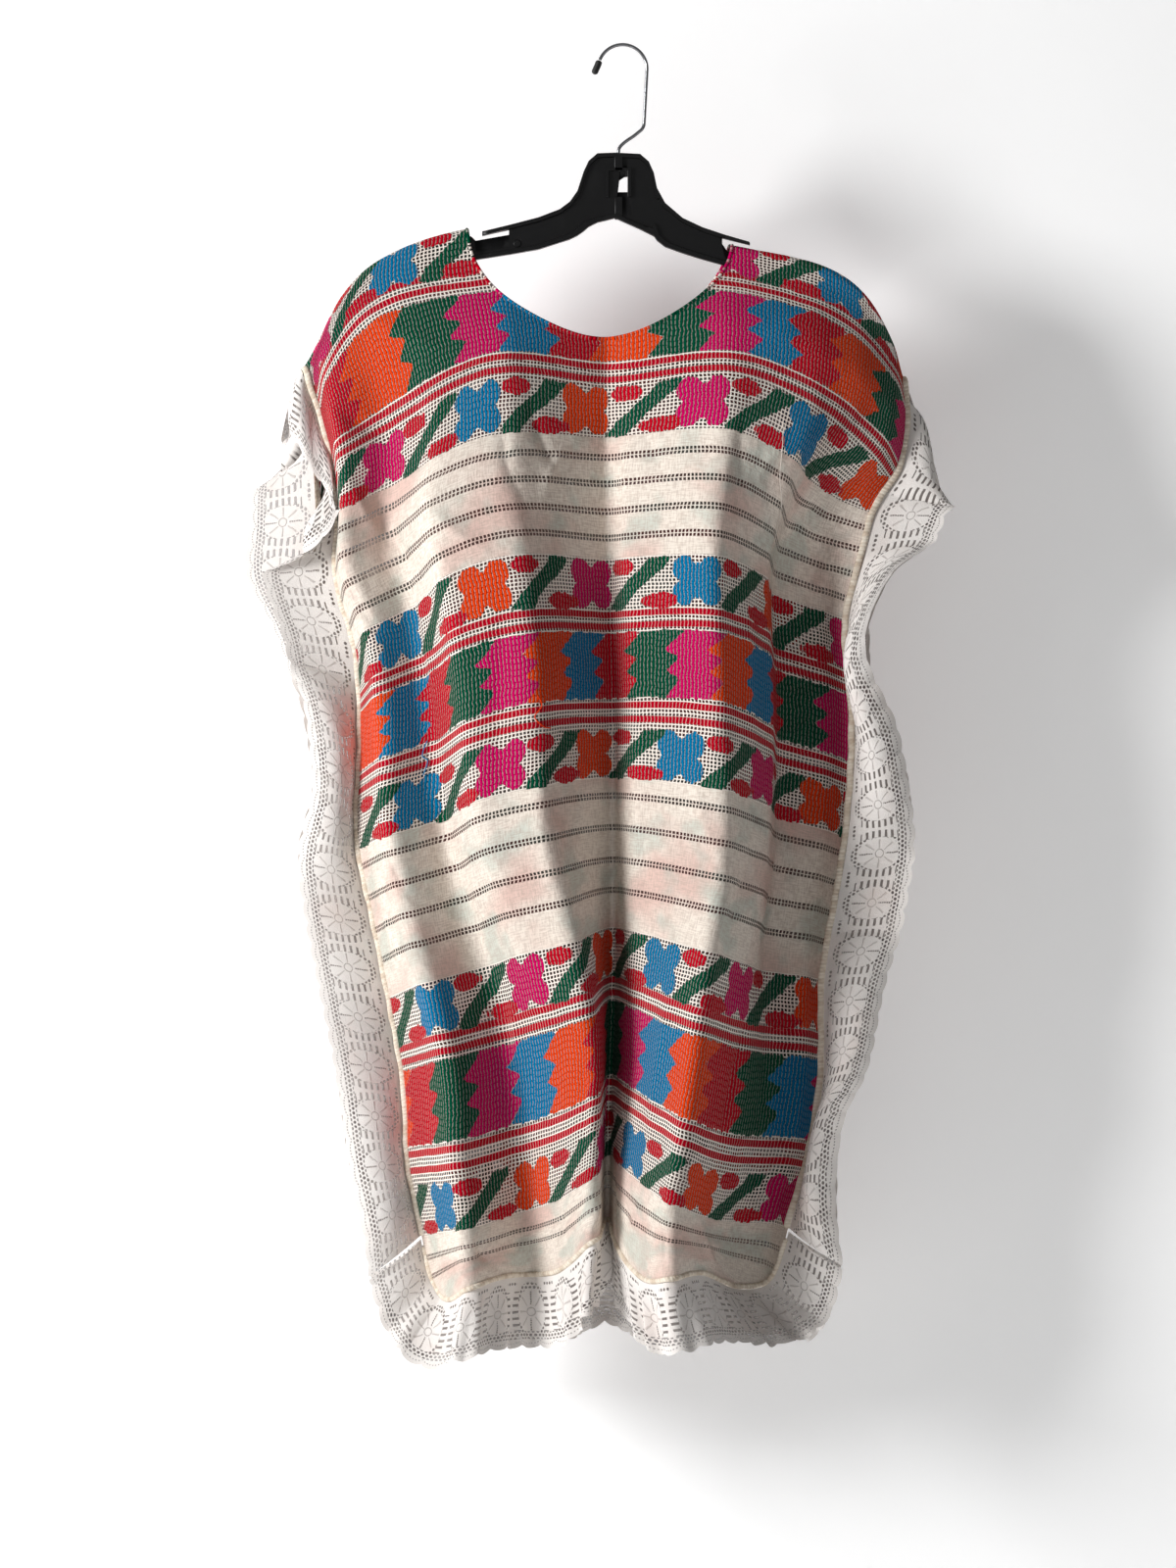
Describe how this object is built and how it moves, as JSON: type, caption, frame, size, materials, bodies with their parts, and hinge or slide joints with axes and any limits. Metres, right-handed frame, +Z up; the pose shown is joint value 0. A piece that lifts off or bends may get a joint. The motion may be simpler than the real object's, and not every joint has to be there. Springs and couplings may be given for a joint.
{
  "type": "huipil blouse on a hanger",
  "caption": "Sleeveless brocaded cotton huipil blouse with a scoop neck and lace edging, hung on a plastic top hanger with a wire hook.",
  "frame": {"origin": "inside top of the wire hook, where the rail that holds the hanger touches it", "axes": "+Z up, -Y towards the viewer of the garment's front, +X towards the viewer's right along the hanger"},
  "size_m": [0.5509, 0.1929, 1.0582],
  "materials": {
    "brocade_cloth": "matt handwoven cotton gauze with brocaded bands",
    "lace": "matt off-white machine lace",
    "hanger_plastic": "smooth black moulded plastic",
    "hook_metal": "bright plated wire",
    "hook_tip": "black dipped tip"
  },
  "bodies": {
    "root": {"front_panel_shoulder": "brocade_cloth", "front_panel_chest": "brocade_cloth", "front_panel_waist": "brocade_cloth", "front_panel_skirt": "brocade_cloth", "back_panel_shoulder": "brocade_cloth", "back_panel_chest": "brocade_cloth", "back_panel_waist": "brocade_cloth", "back_panel_skirt": "brocade_cloth", "lace_left_front": "lace", "lace_left_back": "lace", "lace_right_front": "lace", "lace_right_back": "lace", "lace_hem_front": "lace", "lace_hem_back": "lace", "hanger_body": "hanger_plastic", "hook_wire": "hook_metal", "hook_tip": "hook_tip"}
  },
  "joints": []
}
